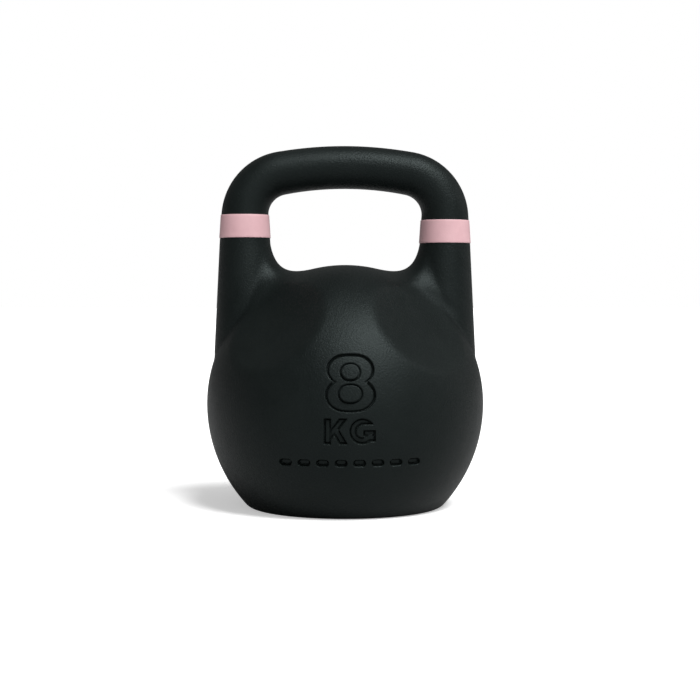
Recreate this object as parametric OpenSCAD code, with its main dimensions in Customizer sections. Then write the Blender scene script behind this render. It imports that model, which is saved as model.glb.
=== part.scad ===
// Competition kettlebell, 8 kg size: a hollow steel bell with a welded-on grip bar,
// a colour band round each horn, and a core hole in the base closed by a screwed plug.
// Millimetres. +Z up, the base stands on z = 0, the grip runs along X and the weight
// mark faces -Y.

/* [Bell] */
// Radius of the bell at its widest point
bell_r = 105.6; // [104.6:0.2:106.4]
// Height of the widest point above the base
bell_mid_z = 79; // [78:0.5:81]
// Radius of the side curve below the widest point
low_side_r = 114; // [110:1:120]
// Radius of the flat face that stands on the floor
base_r = 69; // [66:0.5:70]
// Slope of the bevel round that face, degrees above level
base_bevel_angle = 22; // [18:1:30]
// Wall thickness of the shell, which sets the weight
wall = 4.4; // [4:0.1:6]
// Thickness of the flat floor of the bell
floor_t = 8; // [7.5:0.5:10]

/* [Forearm flats] */
// Angle of each flat round from straight ahead, degrees
flat_turn = 42; // [39:0.5:45]
// Angle of each flat above level, degrees
flat_tilt = 37.5; // [35:0.5:40]
// Depth of each flat below the round surface
flat_depth = 7.8; // [6.6:0.2:8.6]

/* [Grip and horns] */
// Diameter of the grip bar
grip_d = 32.6; // [32:0.2:35]
// Height of the grip bar's centre line at its middle
grip_mid_z = 258.8; // [257:0.2:262]
// Radius of the gentle arch along the grip
grip_arch_r = 270; // [250:10:400]
// Centre-line radius of the two grip corners
grip_corner_r = 33.5; // [31:0.5:34]
// Distance of each horn's neck from the middle
horn_x = 76.4; // [76:0.2:77.6]
// Height of the weld seam between grip and bell
seam_z = 212; // [210:0.5:214]
// Height where the straight neck meets the leaning horn
neck_z = 200; // [198:0.5:200.5]
// Neck diameter at that height
neck_low_d = 38.8; // [38:0.1:39.5]
// Neck diameter where the grip's corner begins
neck_top_d = 36; // [35:0.1:37]
// Horn diameter just under the neck
horn_top_d = 39.6; // [39.5:0.1:40.5]
// Horn diameter at its root, inside the bell's side
horn_root_d = 55.8; // [53:0.2:56.4]
// Distance of the horn's root from the middle
horn_root_x = 72; // [71:0.5:73]
// Height of the horn's root
horn_root_z = 118; // [116:1:120]
// Diameter of the spigot under each end of the grip
spigot_d = 22; // [20:0.5:24]
// Length of each spigot
spigot_len = 30; // [20:1:35]

/* [Colour bands] */
// Height of each band
band_h = 17.5; // [16:0.5:17.5]
// Lower edge of the band on the -X horn
left_band_z = 205; // [204:0.2:206]
// Lower edge of the band on the +X horn
right_band_z = 201.2; // [200:0.2:204]
// Thickness of the coloured coat
band_t = 0.5; // [0.3:0.1:0.8]

/* [Weight mark] */
// Depth of the sunk mark
mark_depth = 2.4; // [1.2:0.1:2.8]
// Height of the numeral's middle above the base
numeral_z = 100.6; // [99:0.2:103]
// Height of the unit's middle above the base
unit_z = 66.6; // [65:0.2:69]
// Height of the row of pips, one for each kilogram
pips_z = 43.8; // [43:0.2:47]
// Number of pips
pip_count = 8; // [4:1:8]
// Distance from pip to pip
pip_pitch = 13; // [12:0.5:14]

/* [Base plug] */
// Diameter of the shallow recess in the base
recess_d = 108; // [100:1:112]
// Depth of that recess
recess_depth = 1.5; // [1:0.1:2]
// Diameter of the core hole
core_hole_d = 36; // [34:1:38]
// Outer diameter of the boss round the core hole, inside the bell
boss_d = 56; // [54:1:60]
// Height of the boss's top above the base
boss_top_z = 18; // [16:1:22]
// Diameter of the plug's flange
flange_d = 48; // [46:1:50]
// Thickness of the plug's flange
flange_t = 3; // [2.5:0.5:3.5]
// Thickness of the sealing ring
seal_t = 1.5; // [1:0.1:2]
// Width of the driver slot across the plug
slot_w = 4; // [3:0.5:5]
// Depth of that slot
slot_depth = 2; // [1:0.2:2.4]

/* [Trim ballast] */
// Outer diameter of the ballast ring
ballast_d = 96; // [90:1:100]
// Height of the ballast ring
ballast_h = 7; // [4:0.5:12]

/* [Hidden] */
$fn = 96;

black_coat = "#202322";
pink_coat = "#dbb0b5";
bare_steel = "#8f9294";
seal_rubber = "#30302f";
shot_resin = "#6d6a63";

fit_gap = 0.05;
far = 300;

// Centres of the grip's arcs, in the XZ plane
arch_z = grip_mid_z - grip_arch_r;
corner_x = horn_x - grip_corner_r;
arch_turn = asin(corner_x / (grip_arch_r - grip_corner_r));
corner_z = arch_z + (grip_arch_r - grip_corner_r) * cos(arch_turn);

// Lengths along the grip's centre line, from the middle out to the seam
arch_len = grip_arch_r * arch_turn * PI / 180;
corner_len = grip_corner_r * (90 - arch_turn) * PI / 180;
leg_len = corner_z - seam_z;
bar_len = arch_len + corner_len + leg_len;
arch_steps = 8;
corner_steps = 14;
bar_sides = 40;

// Horn cone: from the neck down and slightly inwards to its root
horn_lean = atan((horn_x - horn_root_x) / (neck_z - horn_root_z));
horn_len = (neck_z - horn_root_z) / cos(horn_lean);
horn_taper = (horn_root_d - horn_top_d) / horn_len;
horn_over = 6;

// Plug stack, upwards from the recess
flange_z = recess_depth;
seal_z = flange_z + flange_t;
seat_z = seal_z + seal_t;

// ---------------------------------------------------------------- shapes

// Half outline of the bell, shrunk inwards by inset and cut off level at bottom
module bell_outline(inset, bottom) {
    intersection() {
        translate([0, bell_mid_z]) circle(r = bell_r - inset);
        translate([0, bell_mid_z]) square([far, far]);
    }
    intersection() {
        translate([bell_r - low_side_r, bell_mid_z]) circle(r = low_side_r - inset);
        translate([0, bottom]) square([far, bell_mid_z - bottom]);
    }
}

module bell_solid(inset, bottom) {
    rotate_extrude() bell_outline(inset, bottom);
}

// Cone that bevels the edge round the base
module base_bevel() {
    cylinder(h = far, r1 = base_r, r2 = base_r + far / tan(base_bevel_angle));
}

// Diameter of the neck at height z, the same above and below the seam
function neck_d(z) = neck_low_d + (neck_top_d - neck_low_d) * (z - neck_z) / (corner_z - neck_z);

// One horn on the +X side, up to the seam
module horn() {
    translate([horn_x, 0, neck_z - 1])
        cylinder(h = seam_z - neck_z + 1, d1 = neck_d(neck_z - 1), d2 = neck_d(seam_z));
    intersection() {
        translate([horn_x, 0, neck_z]) rotate([0, horn_lean, 0]) translate([0, 0, -horn_len])
            cylinder(h = horn_len + horn_over, d1 = horn_root_d, d2 = horn_top_d - horn_taper * horn_over);
        translate([0, -far / 2, 0]) cube([far, far, neck_z]);
    }
}

// The grip's centre line, by distance s along it from the middle: radius, turn and place
function bar_radius(s) = s > bar_len - leg_len ? neck_d(seam_z + bar_len - s) / 2 :
    grip_d / 2 + (neck_top_d - grip_d) / 2 * pow(s / (bar_len - leg_len), 3);
function bar_turn(s) = s < arch_len ? s / arch_len * arch_turn : min(90, arch_turn + (s - arch_len) / grip_corner_r * 180 / PI);
function bar_place(s) =
    s < arch_len ? [grip_arch_r * sin(bar_turn(s)), arch_z + grip_arch_r * cos(bar_turn(s))] :
    s < bar_len - leg_len ? [corner_x + grip_corner_r * sin(bar_turn(s)), corner_z + grip_corner_r * cos(bar_turn(s))] :
    [horn_x, seam_z + bar_len - s];
function bar_ring(s, side) = [for (k = [0 : bar_sides - 1])
    let (a = 360 * k / bar_sides, r = bar_radius(s), q = bar_turn(s), p = bar_place(s))
        [side * (p[0] + r * cos(a) * sin(q)), r * sin(a), p[1] + r * cos(a) * cos(q)]];

// One ring of points at each station from the -X seam over to the +X seam
module bar_sweep() {
    half = [for (i = [1 : arch_steps]) arch_len * i / arch_steps,
            for (i = [1 : corner_steps]) arch_len + corner_len * i / corner_steps, bar_len];
    count = len(half);
    rings = [for (i = [count - 1 : -1 : 0]) bar_ring(half[i], -1), bar_ring(0, 1), for (s = half) bar_ring(s, 1)];
    last = 2 * count;
    points = [for (ring = rings) each ring];
    skin = [for (i = [0 : last - 1], k = [0 : bar_sides - 1])
        let (n = (k + 1) % bar_sides)
            [i * bar_sides + k, i * bar_sides + n, (i + 1) * bar_sides + n, (i + 1) * bar_sides + k]];
    polyhedron(points, concat([[for (k = [bar_sides - 1 : -1 : 0]) k]], skin,
        [[for (k = [0 : bar_sides - 1]) last * bar_sides + k]]), convexity = 4);
}

module both_sides() {
    children();
    mirror([1, 0, 0]) children();
}

// Removes what stands proud of the four flats
module flat_cutters(depth) {
    cut_r = 55;
    for (side_x = [0, 1], side_y = [0, 1])
        mirror([side_x, 0, 0]) mirror([0, side_y, 0])
            translate([0, 0, bell_mid_z]) rotate([0, 0, flat_turn - 90]) rotate([0, 90 - flat_tilt, 0])
                translate([0, 0, bell_r - depth]) cylinder(h = 2 * depth, r = cut_r);
}

// Level bar with round ends
module round_bar(w, h) {
    for (x = [-1, 1]) translate([x * (w - h) / 2, 0]) circle(d = h);
    square([w - h, h], center = true);
}

// Numeral 8 as two stacked loops
module numeral() {
    difference() {
        union() {
            translate([0, 9.2]) round_bar(32.6, 22.4);
            translate([0, -8.5]) round_bar(34.8, 24.2);
        }
        translate([0, 7.9]) round_bar(12.6, 10.4);
        translate([0, -7.4]) round_bar(15.4, 11.6);
    }
}

// Unit letters, a K built from straight strokes and a G from a ring and a bar
module unit_letters() {
    h = 18.4;
    stroke = 5;
    translate([-18.8, -h / 2]) {
        square([stroke, h]);
        polygon([[stroke - 1, 2], [stroke - 1, 9.7], [10.6, h], [16.6, h], [10.7, 10.7], [17, 0], [11, 0], [7.4, 6.6]]);
    }
    translate([8.4, 0]) {
        difference() {
            circle(d = h);
            circle(d = h - 2 * stroke);
            translate([0, -1.6]) square([h, 6.4]);
        }
        translate([0.6, -3.4]) square([8.7, 4.2]);
        translate([4.4, -7.4]) square([4.9, 4.4]);
    }
}

module pip_row() {
    for (i = [0 : pip_count - 1])
        translate([(i - (pip_count - 1) / 2) * pip_pitch, 0]) round_bar(9, 5);
}

// Prism of one line of the mark, standing in front of the bell at height z
module mark_line(z) {
    front = bell_r - 35;
    translate([0, -front, z]) rotate([90, 0, 0]) linear_extrude(height = 60) children();
}

// The whole mark as a layer sunk into the front of the bell
module mark_cutter() {
    difference() {
        union() {
            mark_line(numeral_z) numeral();
            mark_line(unit_z) unit_letters();
            mark_line(pips_z) pip_row();
        }
        translate([0, 0, bell_mid_z]) sphere(r = bell_r - mark_depth);
    }
}

// ---------------------------------------------------------------- sub-parts

// Hollow bell with its horns, flats, mark and core hole
module bell_body() {
    color(black_coat) difference() {
        union() {
            difference() {
                intersection() {
                    bell_solid(0, 0);
                    base_bevel();
                }
                flat_cutters(flat_depth);
            }
            both_sides() horn();
        }
        cavity();
        mark_cutter();
        both_sides() translate([horn_x, 0, bell_mid_z]) cylinder(h = far, d = spigot_d + 2 * fit_gap);
        translate([0, 0, -1]) cylinder(h = recess_depth + 1, d = recess_d);
        cylinder(h = boss_top_z + 1, d = core_hole_d);
        cylinder(h = seat_z, d = flange_d + 2 * fit_gap);
    }
}

// Hollow of the bell, which keeps the wall's thickness behind the flats and leaves the boss
module cavity() {
    difference() {
        bell_solid(wall, floor_t);
        flat_cutters(flat_depth + wall);
        cylinder(h = boss_top_z, d = boss_d);
    }
}

// Solid bar bent to the handle, with a spigot under each end
module grip_bar() {
    color(black_coat) {
        bar_sweep();
        both_sides() translate([horn_x, 0, seam_z - spigot_len]) cylinder(h = spigot_len + 1, d = spigot_d);
    }
}

// Coat of colour round the neck of the +X horn, across the seam
module band(low_z) {
    top_z = low_z + band_h;
    color(pink_coat) translate([horn_x, 0, 0]) rotate_extrude()
        polygon([[neck_d(low_z) / 2, low_z], [neck_d(low_z) / 2 + band_t, low_z],
                 [neck_d(top_z) / 2 + band_t, top_z], [neck_d(top_z) / 2, top_z]]);
}

module left_band() {
    mirror([1, 0, 0]) band(left_band_z);
}

module right_band() {
    band(right_band_z);
}

// Screwed plug with a flange and a driver slot
module core_plug() {
    color(bare_steel) difference() {
        union() {
            translate([0, 0, flange_z]) cylinder(h = flange_t, d = flange_d);
            translate([0, 0, flange_z]) cylinder(h = boss_top_z - flange_z, d = core_hole_d - 2 * fit_gap);
        }
        translate([-flange_d, -slot_w / 2, flange_z - 1]) cube([2 * flange_d, slot_w, slot_depth + 1]);
    }
}

// Flat ring between the plug's flange and its seat
module plug_seal() {
    color(seal_rubber) translate([0, 0, seal_z]) difference() {
        cylinder(h = seal_t, d = flange_d - 1);
        translate([0, 0, -1]) cylinder(h = seal_t + 2, d = core_hole_d);
    }
}

// Ring of shot and resin cast round the boss to bring the bell to its weight
module trim_ballast() {
    color(shot_resin) translate([0, 0, floor_t]) difference() {
        cylinder(h = ballast_h, d = ballast_d);
        translate([0, 0, -1]) cylinder(h = ballast_h + 2, d = boss_d);
    }
}

bell_body();
grip_bar();
left_band();
right_band();
core_plug();
plug_seal();
trim_ballast();
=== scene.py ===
import math

import bpy
import numpy as np
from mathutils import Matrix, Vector


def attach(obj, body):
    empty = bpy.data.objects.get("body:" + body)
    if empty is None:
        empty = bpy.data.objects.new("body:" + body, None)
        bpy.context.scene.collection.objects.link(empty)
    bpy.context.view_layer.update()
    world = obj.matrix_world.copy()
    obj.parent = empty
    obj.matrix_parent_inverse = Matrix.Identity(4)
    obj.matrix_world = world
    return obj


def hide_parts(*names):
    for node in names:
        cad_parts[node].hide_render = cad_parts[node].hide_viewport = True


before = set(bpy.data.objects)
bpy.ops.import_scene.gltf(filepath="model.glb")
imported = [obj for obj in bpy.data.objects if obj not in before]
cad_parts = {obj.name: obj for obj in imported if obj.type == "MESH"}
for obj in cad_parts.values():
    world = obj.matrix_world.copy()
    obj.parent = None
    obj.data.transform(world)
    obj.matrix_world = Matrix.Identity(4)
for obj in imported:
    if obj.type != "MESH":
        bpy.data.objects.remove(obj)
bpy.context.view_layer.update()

MM = 0.001

# ------------------------------------------------------------------ camera, first of all

CAMERA_DISTANCE = 1.150
CAMERA_HEIGHT = 0.166
CAMERA_TURN = math.radians(-1.9)
CAMERA_AIM = Vector((0.0037, 0.0, 0.1195))
CAMERA_LENS = 77.2


def make_camera():
    data = bpy.data.cameras.new("camera")
    data.lens = CAMERA_LENS
    data.sensor_width = 36.0
    camera = bpy.data.objects.new("camera", data)
    bpy.context.collection.objects.link(camera)
    camera.location = (CAMERA_DISTANCE * math.sin(CAMERA_TURN),
                       -CAMERA_DISTANCE * math.cos(CAMERA_TURN), CAMERA_HEIGHT)
    look = CAMERA_AIM - camera.location
    camera.rotation_euler = look.to_track_quat("-Z", "Y").to_euler()
    bpy.context.scene.camera = camera


make_camera()

# ------------------------------------------------------------------ sizes, in millimetres

# Bell: a round upper half, a lower half of slightly flatter curve, and a shell of even wall
BELL_R = 105.6
BELL_MID_Z = 79.0
LOW_SIDE_R = 114.0
BASE_EDGE_R = 3.0
WALL = 4.4
FLOOR_T = 8.0

# Forearm flats: where each faces, its depth and reach, and the hollow curve that ends it below the horn
FLAT_TURN = math.radians(42.0)
FLAT_TILT = math.radians(37.5)
FLAT_DEPTH = 7.8
FLAT_REACH = 58.0
RIM_TURN = math.radians(50.0)
RIM_REACH = 46.0
RIM_CURVE = 12.0
FLAT_EDGE = 1.6
FLAT_SIDE_EDGE = 2.0

# Grip and horns: a horn blends widely into the bell towards the middle and hardly at all on its outer side
GRIP_D = 32.6
GRIP_MID_Z = 258.8
GRIP_ARCH_R = 270.0
GRIP_CORNER_R = 33.5
HORN_X = 76.4
SEAM_Z = 212.0
NECK_Z = 200.0
NECK_LOW_D = 38.8
NECK_TOP_D = 36.0
HORN_TOP_D = NECK_LOW_D
HORN_ROOT_D = 55.8
HORN_ROOT_X = 72.0
HORN_ROOT_Z = 118.0
HORN_LEAN_SCALE = 0.99
HORN_CREASE = 1.5
HORN_BLEND = 30.0
BLEND_FULL = math.radians(36.0)
BLEND_NONE = math.radians(97.0)
SPIGOT_D = 22.0
SPIGOT_LEN = 30.0
SPIGOT_GAP = 0.05
SPIGOT_CHAMFER = 2.0
BORE_FOOT_Z = 99.0

# Colour bands
BAND_H = 17.5
LEFT_BAND_Z = 205.0
RIGHT_BAND_Z = 201.2
BAND_T = 0.5

# Weight mark: how deep it is at its edges and over its floor, and what it shows
MARK_DEPTH = 3.0
MARK_FLOOR_DEPTH = 1.7
NUMERAL_GROOVE = 1.8
SMALL_GROOVE = 1.5
MARK_EDGE = 0.4
MARK_BACK_Y = -40.0
MARK_X = 0.3
NUMERAL_Z = 100.6
TOP_LOOP = (9.2, 33.6, 22.4)         # height of its middle above the numeral's, width, height
FOOT_LOOP = (-8.5, 35.8, 24.2)
TOP_HOLE = (7.9, 12.6, 10.4)
FOOT_HOLE = (-7.4, 15.4, 11.6)
UNIT_Z = 66.6
UNIT_H = 18.4
UNIT_STROKE = 5.0
K_LEFT_X = -18.8
G_MID_X = 8.4
PIPS_Z = 43.8
PIP_COUNT = 8
PIP_PITCH = 13.0
PIP_W = 9.0
PIP_H = 5.0

# Base: its recess, the core hole, the boss round the hole and the seat of the plug's flange
RECESS_R = 54.0
RECESS_DEPTH = 1.5
RECESS_EDGE = 0.6
CORE_HOLE_R = 18.0
CORE_CUT_PAST = 2.0
BOSS_R = 28.0
BOSS_TOP_Z = 18.0
FLANGE_R = 24.0
SEAT_Z = 6.0

# Centre line of the grip: a gentle arch, two corners and two short legs
ARCH_Z = GRIP_MID_Z - GRIP_ARCH_R
CORNER_X = HORN_X - GRIP_CORNER_R
ARCH_TURN = math.asin(CORNER_X / (GRIP_ARCH_R - GRIP_CORNER_R))
CORNER_Z = ARCH_Z + (GRIP_ARCH_R - GRIP_CORNER_R) * math.cos(ARCH_TURN)
ARCH_LEN = GRIP_ARCH_R * ARCH_TURN
CORNER_LEN = GRIP_CORNER_R * (math.pi / 2 - ARCH_TURN)
LEG_LEN = CORNER_Z - SEAM_Z
BAR_LEN = ARCH_LEN + CORNER_LEN + LEG_LEN

# ------------------------------------------------------------------ smooth solids as distance fields


def smooth_min(a, b, k):
    """Smaller of two fields, rounded over a width of k where they meet."""
    h = np.maximum(k - np.abs(a - b), 0.0) / k
    return np.minimum(a, b) - h * h * k * 0.25


def smooth_max(a, b, k):
    return -smooth_min(-a, -b, k)


def ease(t):
    """Smooth step from 0 to 1 as t goes from 0 to 1."""
    t = np.clip(t, 0.0, 1.0)
    return t * t * (3.0 - 2.0 * t)


def bell_field(rho, z, inset):
    """Distance outside the round side of the bell, shrunk inwards by inset."""
    up = z - BELL_MID_Z
    upper = np.sqrt(rho * rho + up * up) - BELL_R
    lower = np.sqrt((rho + LOW_SIDE_R - BELL_R) ** 2 + up * up) - LOW_SIDE_R
    return np.where(up > 0.0, upper, lower) + inset


def neck_radius(z):
    """Radius of the neck, which narrows upwards through the colour band."""
    return 0.5 * (NECK_LOW_D + (NECK_TOP_D - NECK_LOW_D) * (z - NECK_Z) / (CORNER_Z - NECK_Z))


def horn_field(x, y, z):
    """Distance outside the horn, which leans inwards and widens down to its round root."""
    t = (NECK_Z - z) / (NECK_Z - HORN_ROOT_Z)
    low = np.clip(t, 0.0, 1.0)
    centre = HORN_X + (HORN_ROOT_X - HORN_X) * low
    radius = np.where(t > 0.0, 0.5 * (HORN_TOP_D + (HORN_ROOT_D - HORN_TOP_D) * low), neck_radius(z))
    below = np.maximum(HORN_ROOT_Z - z, 0.0)
    return (np.sqrt((x - centre) ** 2 + y * y + below * below) - radius) * HORN_LEAN_SCALE


def flat_axes():
    """Direction that a flat faces, and the direction in its plane that points at the horn."""
    face = Vector((math.cos(FLAT_TILT) * math.sin(FLAT_TURN), math.cos(FLAT_TILT) * math.cos(FLAT_TURN),
                   math.sin(FLAT_TILT)))
    level = Vector((-math.cos(FLAT_TURN), math.sin(FLAT_TURN), 0.0))
    rise = face.cross(level)
    return face, math.cos(RIM_TURN) * rise - math.sin(RIM_TURN) * level


def flat_field(x, y, z, depth):
    """Negative outside the plane of a forearm flat."""
    face, _ = flat_axes()
    return BELL_R - depth - (x * face.x + y * face.y + (z - BELL_MID_Z) * face.z)


def pocket_field(x, y, z):
    """Negative in the space cut away for a flat, which ends in a hollow curve below the horn."""
    face, rim = flat_axes()
    up = z - BELL_MID_Z
    along = x * face.x + y * face.y + up * face.z
    aside = np.sqrt(np.maximum(x * x + y * y + up * up - along * along, 0.0))
    wall = x * rim.x + y * rim.y + up * rim.z - RIM_REACH
    floor = smooth_max(BELL_R - FLAT_DEPTH - along, wall, RIM_CURVE)
    return smooth_max(floor, aside - FLAT_REACH, FLAT_SIDE_EDGE)


def loop_field(x, z, w, h):
    """Level bar with round ends."""
    dx = np.maximum(np.abs(x) - (w - h) / 2, 0.0)
    return np.sqrt(dx * dx + z * z) - h / 2


def box_field(x, z, x0, x1, z0, z1):
    """Upright rectangle."""
    return np.maximum(np.maximum(x0 - x, x - x1), np.maximum(z0 - z, z - z1))


def slant_field(x, z, foot, slope):
    """Distance to the right of a slanted line through the point foot."""
    return ((x - foot[0]) - (z - foot[1]) / slope) / math.sqrt(1 + 1 / slope ** 2)


def oval_field(x, z, w, h):
    """Ellipse, close to a true distance near its edge."""
    reach = np.sqrt((2 * x / w) ** 2 + (2 * z / h) ** 2) + 1e-9
    slope = np.sqrt((4 * x / w ** 2) ** 2 + (4 * z / h ** 2) ** 2) + 1e-9
    return reach * (reach - 1.0) / slope


def round_field(x, z, w, h):
    """Outline between a bar with round ends and an ellipse."""
    return 0.5 * (loop_field(x, z, w, h) + oval_field(x, z, w, h))


def numeral_field(x, z):
    """Figure eight: two loops, each with a hole."""
    z = z - NUMERAL_Z
    loops = [round_field(x, z - mid, w, h) for mid, w, h in (TOP_LOOP, FOOT_LOOP)]
    holes = [round_field(x, z - mid, w, h) for mid, w, h in (TOP_HOLE, FOOT_HOLE)]
    return np.maximum(np.minimum(*loops), -np.minimum(*holes))


def letter_k_field(x, z):
    """K from straight strokes, with x measured from its left side and z from its foot."""
    rise = 1.3
    fall = -11.2 / 6.7
    arm_left = (10.6, UNIT_H)
    arm_right = (16.6, UNIT_H)
    leg_left = (11.0, 0.0)
    leg_right = (17.0, 0.0)
    rows = np.maximum(-z, z - UNIT_H)
    stem = box_field(x, z, 0.0, UNIT_STROKE, 0.0, UNIT_H)
    arm = np.maximum(-slant_field(x, z, arm_left, rise), slant_field(x, z, arm_right, rise))
    arm = np.maximum(arm, np.maximum(rows, UNIT_STROKE - 1 - x))
    leg = np.maximum(slant_field(x, z, leg_right, fall), -slant_field(x, z, leg_left, fall))
    leg = np.maximum(leg, np.maximum(rows, -slant_field(x, z, arm_left, rise)))
    return np.minimum(stem, np.minimum(arm, leg))


def letter_g_field(x, z):
    """G from an open ring, a bar and a spur, measured from the ring's middle."""
    ring = np.abs(np.sqrt(x * x + z * z) - (UNIT_H - UNIT_STROKE) / 2) - UNIT_STROKE / 2
    ring = np.maximum(ring, -box_field(x, z, 0.0, UNIT_H, -1.6, 4.8))
    bar = box_field(x, z, 0.6, 9.3, -3.4, 0.8)
    spur = box_field(x, z, 4.4, 9.3, -7.4, -3.0)
    return np.minimum(ring, np.minimum(bar, spur))


def unit_field(x, z):
    z = z - UNIT_Z
    return np.minimum(letter_k_field(x - K_LEFT_X, z + UNIT_H / 2), letter_g_field(x - G_MID_X, z))


def pips_field(x, z):
    """Row of level pips, one for each kilogram."""
    half = (PIP_COUNT - 1) / 2
    nearest = np.clip(np.round(x / PIP_PITCH + half), 0, PIP_COUNT - 1) - half
    return loop_field(x - nearest * PIP_PITCH, z - PIPS_Z, PIP_W, PIP_H)


def sink(outline, below, groove):
    """Sunk shape with a flat floor and a deeper groove of the given width inside its edge."""
    edge = 1.0 - ease(-outline / groove)
    depth = MARK_FLOOR_DEPTH + (MARK_DEPTH - MARK_FLOOR_DEPTH) * edge
    return np.maximum(outline, below - depth)


def mark_field(x, z, below):
    """Negative in the sunk mark, where below is the depth under the surface."""
    small = np.minimum(unit_field(x, z), pips_field(x, z))
    return np.minimum(sink(numeral_field(x, z), below, NUMERAL_GROOVE), sink(small, below, SMALL_GROOVE))


def outer_field(x, y, z):
    """Outside of the bell with its horns and flats, before the mark and the hollow."""
    ax = np.abs(x)
    ay = np.abs(y)
    rho = np.sqrt(x * x + y * y)
    bell = bell_field(rho, z, 0.0)
    horn = horn_field(ax, y, z)
    around = np.arctan2(ay, HORN_X - ax)
    spread = 1.0 - ease((around - BLEND_FULL) / (BLEND_NONE - BLEND_FULL))
    solid = smooth_min(bell, horn, HORN_CREASE + spread * (HORN_BLEND - HORN_CREASE))
    return smooth_max(solid, -pocket_field(ax, ay, z), FLAT_EDGE)


def hollow_field(x, y, z):
    """Inside of the shell: the bell's own shape set in by the wall, with the boss standing in it."""
    ax = np.abs(x)
    ay = np.abs(y)
    rho = np.sqrt(x * x + y * y)
    room = np.maximum(bell_field(rho, z, WALL), FLOOR_T - z)
    room = np.maximum(room, -flat_field(ax, ay, z, FLAT_DEPTH + WALL))
    return np.maximum(room, -np.maximum(rho - BOSS_R, z - BOSS_TOP_Z))


def bell_body_field(x, y, z):
    """The whole bell. Its mark is drawn as seen from the front and runs inwards along the bell's radii."""
    rho = np.sqrt(x * x + y * y)
    solid = outer_field(x, y, z)
    solid = smooth_max(solid, -z, BASE_EDGE_R)
    solid = np.maximum(solid, z - SEAM_Z)
    scale = BELL_R / np.sqrt(rho * rho + (z - BELL_MID_Z) ** 2 + 1.0)
    mark = mark_field(x * scale - MARK_X, BELL_MID_Z + (z - BELL_MID_Z) * scale, -solid)
    solid = smooth_max(solid, -np.maximum(mark, y - MARK_BACK_Y), MARK_EDGE)
    solid = smooth_max(solid, -np.maximum(rho - RECESS_R, z - RECESS_DEPTH), RECESS_EDGE)
    solid = np.maximum(solid, -hollow_field(x, y, z))
    core = np.minimum(rho - CORE_HOLE_R, np.maximum(rho - FLANGE_R, z - SEAT_Z))
    solid = np.maximum(solid, -np.maximum(core, z - BOSS_TOP_Z - CORE_CUT_PAST))
    bore = np.sqrt((np.abs(x) - HORN_X) ** 2 + y * y) - SPIGOT_D / 2
    return np.maximum(solid, -np.maximum(bore, BORE_FOOT_Z - z))


# ------------------------------------------------------------------ meshing a distance field


def grid_line(low, high, step, fine_low, fine_high, fine_step):
    """Coordinates from low to high, closer together between fine_low and fine_high."""
    before = np.linspace(low, fine_low, max(2, int(round((fine_low - low) / step)) + 1))[:-1]
    middle = np.linspace(fine_low, fine_high, int(round((fine_high - fine_low) / fine_step)) + 1)
    after = np.linspace(fine_high, high, max(2, int(round((high - fine_high) / step)) + 1))[1:]
    return np.concatenate([before, middle, after])


def sample(field, xs, ys, zs):
    """Values of the field at the grid's points, worked out a slab at a time."""
    values = np.empty((len(xs), len(ys), len(zs)), np.float32)
    slab = 24
    for i in range(0, len(xs), slab):
        x = xs[i:i + slab, None, None]
        part = np.broadcast_arrays(x, ys[None, :, None], zs[None, None, :])
        values[i:i + slab] = field(*part)
    return values


CORNERS = [(i, j, k) for i in (0, 1) for j in (0, 1) for k in (0, 1)]
FACE_CORNERS = ((0, 0), (1, 0), (1, 1), (0, 1))
JUST_INSIDE = -0.01
LEAST_SLOPE = 0.2
RELAX_SHARE = 0.5


def fill_diagonals(values, rounds=4):
    """Fill in wherever two parts of the surface would touch along one edge only."""
    for _ in range(rounds):
        for u, v in ((0, 1), (1, 2), (2, 0)):
            parts = []
            for i, j in FACE_CORNERS:
                cut = [slice(None)] * 3
                cut[u] = slice(i, values.shape[u] - 1 + i)
                cut[v] = slice(j, values.shape[v] - 1 + j)
                parts.append(values[tuple(cut)] < 0.0)
            a, b, c, d = parts
            spots = np.argwhere((a == c) & (b == d) & (a != b))
            for i, j in FACE_CORNERS:
                corner = spots.copy()
                corner[:, u] += i
                corner[:, v] += j
                at = tuple(corner.T)
                values[at] = np.minimum(values[at], JUST_INSIDE)


def crossed_cells(inside):
    """Cells that the surface passes through, and the number of each in a grid of their own."""
    count = np.zeros(tuple(n - 1 for n in inside.shape), np.uint8)
    for i, j, k in CORNERS:
        count += inside[i:inside.shape[0] - 1 + i, j:inside.shape[1] - 1 + j, k:inside.shape[2] - 1 + k]
    cells = np.argwhere((count > 0) & (count < 8))
    index = np.full(count.shape, -1, np.int32)
    index[tuple(cells.T)] = np.arange(len(cells))
    return cells, index


def cell_points(values, cells, axes):
    """Mean of the places where the surface crosses each cell's edges."""
    total = np.zeros((len(cells), 3))
    weight = np.zeros(len(cells))
    for axis in range(3):
        for corner in CORNERS:
            if corner[axis]:
                continue
            a = cells + np.array(corner)
            b = a.copy()
            b[:, axis] += 1
            va = values[tuple(a.T)].astype(float)
            vb = values[tuple(b.T)].astype(float)
            crossed = (va < 0) != (vb < 0)
            share = np.where(crossed, va / np.where(crossed, va - vb, 1.0), 0.0)
            for d in range(3):
                pa = axes[d][a[:, d]]
                pb = axes[d][b[:, d]]
                total[:, d] += np.where(crossed, pa + (pb - pa) * share, 0.0)
            weight += crossed
    return total / weight[:, None]


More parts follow.
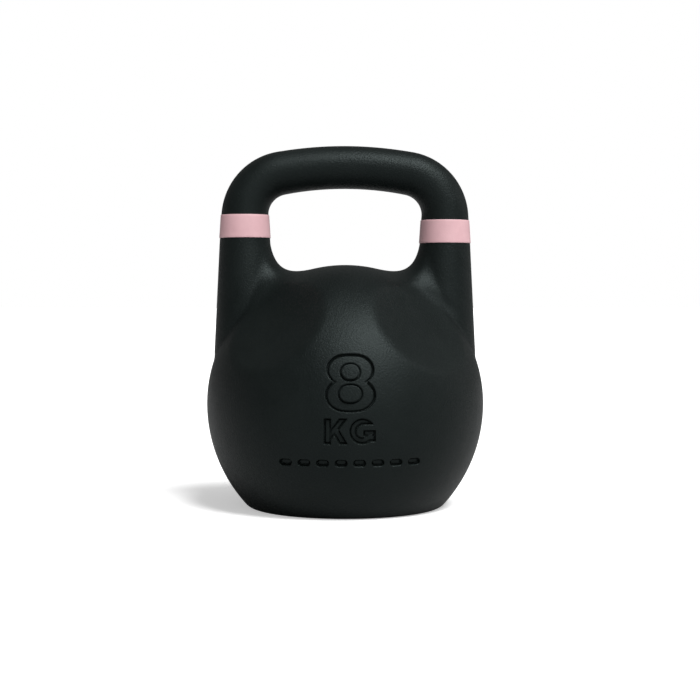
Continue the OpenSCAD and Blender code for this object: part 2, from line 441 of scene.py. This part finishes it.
def edge_quads(inside, index, axis):
    """One quad for each grid edge along the axis that the surface crosses."""
    u = (axis + 1) % 3
    v = (axis + 2) % 3
    low = [slice(None)] * 3
    high = [slice(None)] * 3
    low[axis] = slice(0, -1)
    high[axis] = slice(1, None)
    start = inside[tuple(low)]
    edges = np.argwhere(start != inside[tuple(high)])
    keep = (edges[:, u] > 0) & (edges[:, v] > 0)
    keep &= (edges[:, u] < inside.shape[u] - 1) & (edges[:, v] < inside.shape[v] - 1)
    edges = edges[keep]
    ring = []
    for du, dv in ((-1, -1), (0, -1), (0, 0), (-1, 0)):
        cell = edges.copy()
        cell[:, u] += du
        cell[:, v] += dv
        ring.append(index[tuple(cell.T)])
    ring = np.stack(ring, axis=1)
    flip = ~start[tuple(edges.T)]
    ring[flip] = ring[flip][:, ::-1]
    return ring


def surface_net(field, xs, ys, zs):
    """One vertex for each cell that the surface crosses, one quad for each crossed grid edge."""
    values = sample(field, xs, ys, zs)
    fill_diagonals(values)
    inside = values < 0.0
    cells, index = crossed_cells(inside)
    points = cell_points(values, cells, (xs, ys, zs))
    return points, np.concatenate([edge_quads(inside, index, axis) for axis in range(3)])


def field_gradient(field, points):
    """Slope of the field at each point, from one step either side of it."""
    step = 0.02
    out = np.empty_like(points)
    for d in range(3):
        shift = np.zeros(3)
        shift[d] = step
        ahead = points + shift
        behind = points - shift
        out[:, d] = (field(*ahead.T) - field(*behind.T)) / (2 * step)
    return out


def settle(field, points, limit, rounds=3):
    """Move each point along the field's slope onto the surface itself."""
    for _ in range(rounds):
        slope = field_gradient(field, points)
        size = np.maximum((slope * slope).sum(axis=1), LEAST_SLOPE)
        move = -slope * (field(*points.T) / size)[:, None]
        length = np.sqrt((move * move).sum(axis=1))
        move *= np.minimum(1.0, limit / np.maximum(length, 1e-9))[:, None]
        points = points + move
    return points


def relax(field, points, quads, rounds, limit):
    """Even out the spacing of the points, which stay on the surface."""
    pairs = np.concatenate([quads[:, [0, 1]], quads[:, [1, 2]], quads[:, [2, 3]], quads[:, [3, 0]]])
    degree = np.bincount(pairs.ravel(), minlength=len(points))
    for _ in range(rounds):
        mean = np.empty_like(points)
        for d in range(3):
            mean[:, d] = (np.bincount(pairs[:, 0], points[pairs[:, 1], d], len(points))
                          + np.bincount(pairs[:, 1], points[pairs[:, 0], d], len(points))) / degree
        slope = field_gradient(field, points)
        slope /= np.maximum(np.sqrt((slope * slope).sum(axis=1)), 1e-6)[:, None]
        move = RELAX_SHARE * (mean - points)
        move -= slope * (move * slope).sum(axis=1)[:, None]
        points = settle(field, points + move, limit, 1)
    return points


def add_mesh(name, points, faces):
    """Smooth-shaded object, with its points given in millimetres."""
    mesh = bpy.data.meshes.new(name)
    places = [tuple(p) for p in np.asarray(points) * MM]
    mesh.from_pydata(places, [], faces)
    mesh.validate()
    mesh.update()
    mesh.shade_smooth()
    piece = bpy.data.objects.new(name, mesh)
    bpy.context.collection.objects.link(piece)
    return piece


def add_quad_mesh(name, points, quads):
    """Fast way in for a large mesh that is all quads."""
    mesh = bpy.data.meshes.new(name)
    mesh.vertices.add(len(points))
    mesh.vertices.foreach_set("co", (points * MM).astype(np.float32).ravel())
    mesh.loops.add(4 * len(quads))
    mesh.loops.foreach_set("vertex_index", quads.astype(np.int32).ravel())
    mesh.polygons.add(len(quads))
    mesh.polygons.foreach_set("loop_start", np.arange(0, 4 * len(quads), 4, dtype=np.int32))
    mesh.update(calc_edges=True)
    mesh.validate()
    mesh.shade_smooth()
    piece = bpy.data.objects.new(name, mesh)
    bpy.context.collection.objects.link(piece)
    return piece


# ------------------------------------------------------------------ pieces

GRID_HALF = 110.0
GRID_Z = (-4.0, 216.0)
FINE_X = (-55.0, 55.0)               # the grid is finer where the mark is
FINE_Y = (-107.0, -82.0)
FINE_Z = (42.0, 126.0)
GRIP_SIDES = 96
GRIP_STEPS = 150
BAND_SIDES = 144
BAND_ROWS = 12


def make_bell():
    coarse = 1.5
    fine = 0.45
    xs = grid_line(-GRID_HALF, GRID_HALF, coarse, *FINE_X, fine)
    ys = grid_line(-GRID_HALF, GRID_HALF, coarse, *FINE_Y, fine)
    zs = grid_line(*GRID_Z, coarse, *FINE_Z, fine)
    points, quads = surface_net(bell_body_field, xs, ys, zs)
    points = settle(bell_body_field, points, coarse)
    points = relax(bell_body_field, points, quads, 3, coarse)
    piece = add_quad_mesh("bell", points, quads)
    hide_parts("bell_body")
    return piece


def bar_station(s):
    """Place, turn and radius of the grip at distance s along it from the middle."""
    side = -1.0 if s < 0 else 1.0
    s = abs(s)
    if s < ARCH_LEN:
        turn = s / GRIP_ARCH_R
        x = GRIP_ARCH_R * math.sin(turn)
        z = ARCH_Z + GRIP_ARCH_R * math.cos(turn)
    elif s < ARCH_LEN + CORNER_LEN:
        turn = ARCH_TURN + (s - ARCH_LEN) / GRIP_CORNER_R
        x = CORNER_X + GRIP_CORNER_R * math.sin(turn)
        z = CORNER_Z + GRIP_CORNER_R * math.cos(turn)
    else:
        turn = math.pi / 2
        x = HORN_X
        z = SEAM_Z + BAR_LEN - s
    if s > BAR_LEN - LEG_LEN:
        radius = neck_radius(z)
    else:
        swell = (s / (BAR_LEN - LEG_LEN)) ** 3      # the bar thickens mostly in its corners
        radius = GRIP_D / 2 + (NECK_TOP_D - GRIP_D) / 2 * swell
    return side * x, z, side * turn, radius


def ring_faces(sides, first, second):
    """Quads between two rings of points, given the number of the first point in each."""
    return [(first + k, first + (k + 1) % sides, second + (k + 1) % sides, second + k) for k in range(sides)]


def grip_rings():
    """Place, turn and radius of each ring of the grip, from one spigot's end to the other's."""
    stations = [bar_station(BAR_LEN * (2 * i / GRIP_STEPS - 1)) for i in range(GRIP_STEPS + 1)]
    radius = SPIGOT_D / 2 - SPIGOT_GAP
    end_z = SEAM_Z - SPIGOT_LEN
    tail = [(SEAM_Z, radius), (end_z + SPIGOT_CHAMFER, radius), (end_z, radius - SPIGOT_CHAMFER)]
    left = [(-HORN_X, z, -math.pi / 2, r) for z, r in reversed(tail)]
    right = [(HORN_X, z, math.pi / 2, r) for z, r in tail]
    return left + stations + right


def make_grip():
    """Bar swept along its centre line, with a spigot below each end."""
    rings = grip_rings()
    points = []
    for x, z, turn, radius in rings:
        for k in range(GRIP_SIDES):
            a = 2 * math.pi * k / GRIP_SIDES
            out = radius * math.cos(a)
            points.append((x + out * math.sin(turn), radius * math.sin(a), z + out * math.cos(turn)))
    faces = []
    for i in range(len(rings) - 1):
        faces += ring_faces(GRIP_SIDES, (i + 1) * GRIP_SIDES, i * GRIP_SIDES)
    last = (len(rings) - 1) * GRIP_SIDES
    faces.append(tuple(range(GRIP_SIDES)))
    faces.append(tuple(range(last, last + GRIP_SIDES))[::-1])
    piece = add_mesh("grip", points, faces)
    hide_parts("grip_bar")
    return piece


def band_outline():
    """Height above the band's foot and lift off the neck, from the lower inner edge to the upper one."""
    lip = 0.35
    sunk = -0.2
    worn = BAND_T * 0.75
    middle = [(BAND_H * i / BAND_ROWS, BAND_T) for i in range(1, BAND_ROWS)]
    foot = [(0.0, sunk), (0.0, worn), (lip, BAND_T)]
    top = [(BAND_H - lip, BAND_T), (BAND_H, worn), (BAND_H, sunk)]
    return foot + middle + top


def make_band(name, node, side, low_z):
    """Thin coat round one neck, with soft upper and lower edges."""
    outline = band_outline()
    points = []
    for h, lift in outline:
        r = neck_radius(low_z + h) + lift
        for k in range(BAND_SIDES):
            a = 2 * math.pi * k / BAND_SIDES
            points.append((side * HORN_X + r * math.cos(a), r * math.sin(a), low_z + h))
    faces = []
    for i in range(len(outline)):
        faces += ring_faces(BAND_SIDES, i * BAND_SIDES, (i + 1) % len(outline) * BAND_SIDES)
    piece = add_mesh(name, points, faces)
    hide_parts(node)
    return piece


# ------------------------------------------------------------------ materials


def new_material(name):
    material = bpy.data.materials.new(name)
    material.use_nodes = True
    nodes = material.node_tree.nodes
    links = material.node_tree.links
    return material, nodes, links, nodes["Principled BSDF"]


def noise(nodes, links, coords, scale, detail, roughness=0.5):
    node = nodes.new("ShaderNodeTexNoise")
    node.inputs["Scale"].default_value = scale
    node.inputs["Detail"].default_value = detail
    node.inputs["Roughness"].default_value = roughness
    links.new(coords.outputs["Object"], node.inputs["Vector"])
    return node


def ramp(nodes, links, source, low, high, colour_low, colour_high):
    node = nodes.new("ShaderNodeValToRGB")
    node.color_ramp.elements[0].position = low
    node.color_ramp.elements[1].position = high
    node.color_ramp.elements[0].color = (*colour_low, 1.0)
    node.color_ramp.elements[1].color = (*colour_high, 1.0)
    links.new(source, node.inputs["Fac"])
    return node


def bump(nodes, links, source, strength, distance, before=None):
    node = nodes.new("ShaderNodeBump")
    node.inputs["Strength"].default_value = strength
    node.inputs["Distance"].default_value = distance
    links.new(source, node.inputs["Height"])
    if before is not None:
        links.new(before.outputs["Normal"], node.inputs["Normal"])
    return node


def black_coat_material():
    """Matt black powder coat: a fine grain over a soft orange peel, with slight mottling."""
    material, nodes, links, shader = new_material("black_coat")
    coords = nodes.new("ShaderNodeTexCoord")
    mottle = noise(nodes, links, coords, 28.0, 5.0, 0.6)
    deep = (0.0036, 0.0052, 0.0050)
    pale = (0.0056, 0.0076, 0.0073)
    tint = ramp(nodes, links, mottle.outputs["Fac"], 0.35, 0.7, deep, pale)
    links.new(tint.outputs["Color"], shader.inputs["Base Color"])
    gloss = ramp(nodes, links, mottle.outputs["Fac"], 0.3, 0.75, (0.42, 0.42, 0.42), (0.49, 0.49, 0.49))
    links.new(gloss.outputs["Color"], shader.inputs["Roughness"])
    shader.inputs["Specular IOR Level"].default_value = 0.16
    shader.inputs["Specular Tint"].default_value = (0.84, 1.0, 0.99, 1.0)
    peel = noise(nodes, links, coords, 420.0, 2.0)
    grain = noise(nodes, links, coords, 800.0, 3.0, 0.65)
    soft = bump(nodes, links, peel.outputs["Fac"], 0.12, 0.0006)
    fine = bump(nodes, links, grain.outputs["Fac"], 0.7, 0.0005, soft)
    links.new(fine.outputs["Normal"], shader.inputs["Normal"])
    return material


def pink_coat_material():
    """Satin pink enamel, a little thin and uneven in places."""
    material, nodes, links, shader = new_material("pink_coat")
    coords = nodes.new("ShaderNodeTexCoord")
    cloud = noise(nodes, links, coords, 60.0, 4.0, 0.6)
    tint = ramp(nodes, links, cloud.outputs["Fac"], 0.3, 0.7, (0.58, 0.35, 0.375), (0.65, 0.405, 0.43))
    links.new(tint.outputs["Color"], shader.inputs["Base Color"])
    shader.inputs["Roughness"].default_value = 0.45
    peel = noise(nodes, links, coords, 900.0, 2.0)
    skin = bump(nodes, links, peel.outputs["Fac"], 0.15, 0.0004)
    links.new(skin.outputs["Normal"], shader.inputs["Normal"])
    return material


def turned_steel_material():
    """Turned steel with fine rings round the plug's axis."""
    material, nodes, links, shader = new_material("turned_steel")
    coords = nodes.new("ShaderNodeTexCoord")
    rings = nodes.new("ShaderNodeTexWave")
    rings.wave_type = "RINGS"
    rings.rings_direction = "Z"
    rings.inputs["Scale"].default_value = 700.0
    rings.inputs["Distortion"].default_value = 0.4
    links.new(coords.outputs["Object"], rings.inputs["Vector"])
    stain = noise(nodes, links, coords, 90.0, 5.0, 0.6)
    tint = ramp(nodes, links, stain.outputs["Fac"], 0.3, 0.75, (0.20, 0.20, 0.20), (0.36, 0.36, 0.37))
    links.new(tint.outputs["Color"], shader.inputs["Base Color"])
    shader.inputs["Metallic"].default_value = 1.0
    shader.inputs["Roughness"].default_value = 0.35
    cut = bump(nodes, links, rings.outputs["Fac"], 0.15, 0.0001)
    links.new(cut.outputs["Normal"], shader.inputs["Normal"])
    return material


def rubber_material():
    """Matt black rubber with a little dust."""
    material, nodes, links, shader = new_material("seal_rubber")
    coords = nodes.new("ShaderNodeTexCoord")
    dust = noise(nodes, links, coords, 300.0, 4.0, 0.6)
    tint = ramp(nodes, links, dust.outputs["Fac"], 0.35, 0.8, (0.012, 0.012, 0.012), (0.03, 0.03, 0.029))
    links.new(tint.outputs["Color"], shader.inputs["Base Color"])
    shader.inputs["Roughness"].default_value = 0.75
    skin = bump(nodes, links, dust.outputs["Fac"], 0.2, 0.0003)
    links.new(skin.outputs["Normal"], shader.inputs["Normal"])
    return material


def shot_resin_material():
    """Steel shot set in resin."""
    material, nodes, links, shader = new_material("shot_resin")
    coords = nodes.new("ShaderNodeTexCoord")
    shot = nodes.new("ShaderNodeTexVoronoi")
    shot.inputs["Scale"].default_value = 450.0
    links.new(coords.outputs["Object"], shot.inputs["Vector"])
    tint = ramp(nodes, links, shot.outputs["Distance"], 0.2, 0.7, (0.24, 0.23, 0.22), (0.05, 0.045, 0.035))
    links.new(tint.outputs["Color"], shader.inputs["Base Color"])
    shader.inputs["Roughness"].default_value = 0.5
    lumps = bump(nodes, links, shot.outputs["Distance"], 0.6, 0.0006)
    lumps.invert = True
    links.new(lumps.outputs["Normal"], shader.inputs["Normal"])
    return material


def give(piece, material):
    piece.data.materials.clear()
    piece.data.materials.append(material)


# ------------------------------------------------------------------ stage

FLOOR_HALF = 12.0
FLOOR_GLOW = 0.43                    # added to the floor as the camera sees it
FLOOR_BOUNCE = 0.5                   # the floor's shade as the object sees it
WORLD_FILL = 0.19
SUN_DISTANCE = 3.0
MIX_A = 6                            # colour sockets of the Mix node
MIX_B = 7
MIX_RESULT = 2


def floor_material():
    """Floor that is nearly white to the camera and a mid grey to everything else."""
    material, nodes, links, shader = new_material("pale_floor")
    coords = nodes.new("ShaderNodeTexCoord")
    haze = noise(nodes, links, coords, 1.5, 2.0)
    tint = ramp(nodes, links, haze.outputs["Fac"], 0.3, 0.7, (0.86, 0.86, 0.86), (0.88, 0.88, 0.88))
    path = nodes.new("ShaderNodeLightPath")
    dim = nodes.new("ShaderNodeMix")
    dim.data_type = "RGBA"
    dim.inputs[MIX_A].default_value = (FLOOR_BOUNCE, FLOOR_BOUNCE, FLOOR_BOUNCE, 1.0)
    links.new(path.outputs["Is Camera Ray"], dim.inputs["Factor"])
    links.new(tint.outputs["Color"], dim.inputs[MIX_B])
    links.new(dim.outputs[MIX_RESULT], shader.inputs["Base Color"])
    glow = nodes.new("ShaderNodeMapRange")
    glow.inputs["To Min"].default_value = 0.0
    glow.inputs["To Max"].default_value = FLOOR_GLOW
    links.new(path.outputs["Is Camera Ray"], glow.inputs["Value"])
    links.new(glow.outputs["Result"], shader.inputs["Emission Strength"])
    shader.inputs["Emission Color"].default_value = (1.0, 1.0, 1.0, 1.0)
    shader.inputs["Roughness"].default_value = 0.9
    shader.inputs["Specular IOR Level"].default_value = 0.0
    return material


def make_floor():
    corners = [(u * FLOOR_HALF, v * FLOOR_HALF, 0) for u, v in ((-1, -1), (1, -1), (1, 1), (-1, 1))]
    mesh = bpy.data.meshes.new("floor")
    mesh.from_pydata(corners, [], [(0, 1, 2, 3)])
    floor = bpy.data.objects.new("floor", mesh)
    bpy.context.collection.objects.link(floor)
    give(floor, floor_material())


def make_sun(name, turn, height, spread, power):
    """Distant soft light, placed by its turn to the right of the front and its height, all in degrees."""
    data = bpy.data.lights.new(name, "SUN")
    data.angle = math.radians(spread)
    data.energy = power
    light = bpy.data.objects.new(name, data)
    bpy.context.collection.objects.link(light)
    turn = math.radians(turn)
    height = math.radians(height)
    place = Vector((math.cos(height) * math.sin(turn), -math.cos(height) * math.cos(turn), math.sin(height)))
    light.location = SUN_DISTANCE * place
    light.rotation_euler = (-place).to_track_quat("-Z", "Y").to_euler()


def make_world():
    """White behind the object as the camera sees it, and a dim fill for everything else."""
    world = bpy.data.worlds.new("studio")
    bpy.context.scene.world = world
    world.use_nodes = True
    nodes = world.node_tree.nodes
    links = world.node_tree.links
    background = nodes["Background"]
    path = nodes.new("ShaderNodeLightPath")
    shade = nodes.new("ShaderNodeMapRange")
    shade.inputs["To Min"].default_value = WORLD_FILL
    shade.inputs["To Max"].default_value = 1.0
    links.new(path.outputs["Is Camera Ray"], shade.inputs["Value"])
    links.new(shade.outputs["Result"], background.inputs["Strength"])
    background.inputs["Color"].default_value = (1.0, 1.0, 1.0, 1.0)


make_world()
make_floor()
make_sun("key", turn=31.0, height=57.0, spread=24.0, power=3.9)
make_sun("front", turn=18.0, height=12.0, spread=70.0, power=0.8)
make_sun("side", turn=100.0, height=22.0, spread=30.0, power=0.25)
bpy.context.scene.view_settings.view_transform = "Standard"

black = black_coat_material()
bell = make_bell()
grip = make_grip()
left_band = make_band("left_band_coat", "left_band", -1, LEFT_BAND_Z)
right_band = make_band("right_band_coat", "right_band", 1, RIGHT_BAND_Z)
for piece in (bell, grip):
    give(piece, black)
pink = pink_coat_material()
for piece in (left_band, right_band):
    give(piece, pink)
for piece in (bell, grip, left_band, right_band):
    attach(piece, "root")

for node, maker in (("core_plug", turned_steel_material), ("plug_seal", rubber_material),
                    ("trim_ballast", shot_resin_material)):
    give(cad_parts[node], maker())
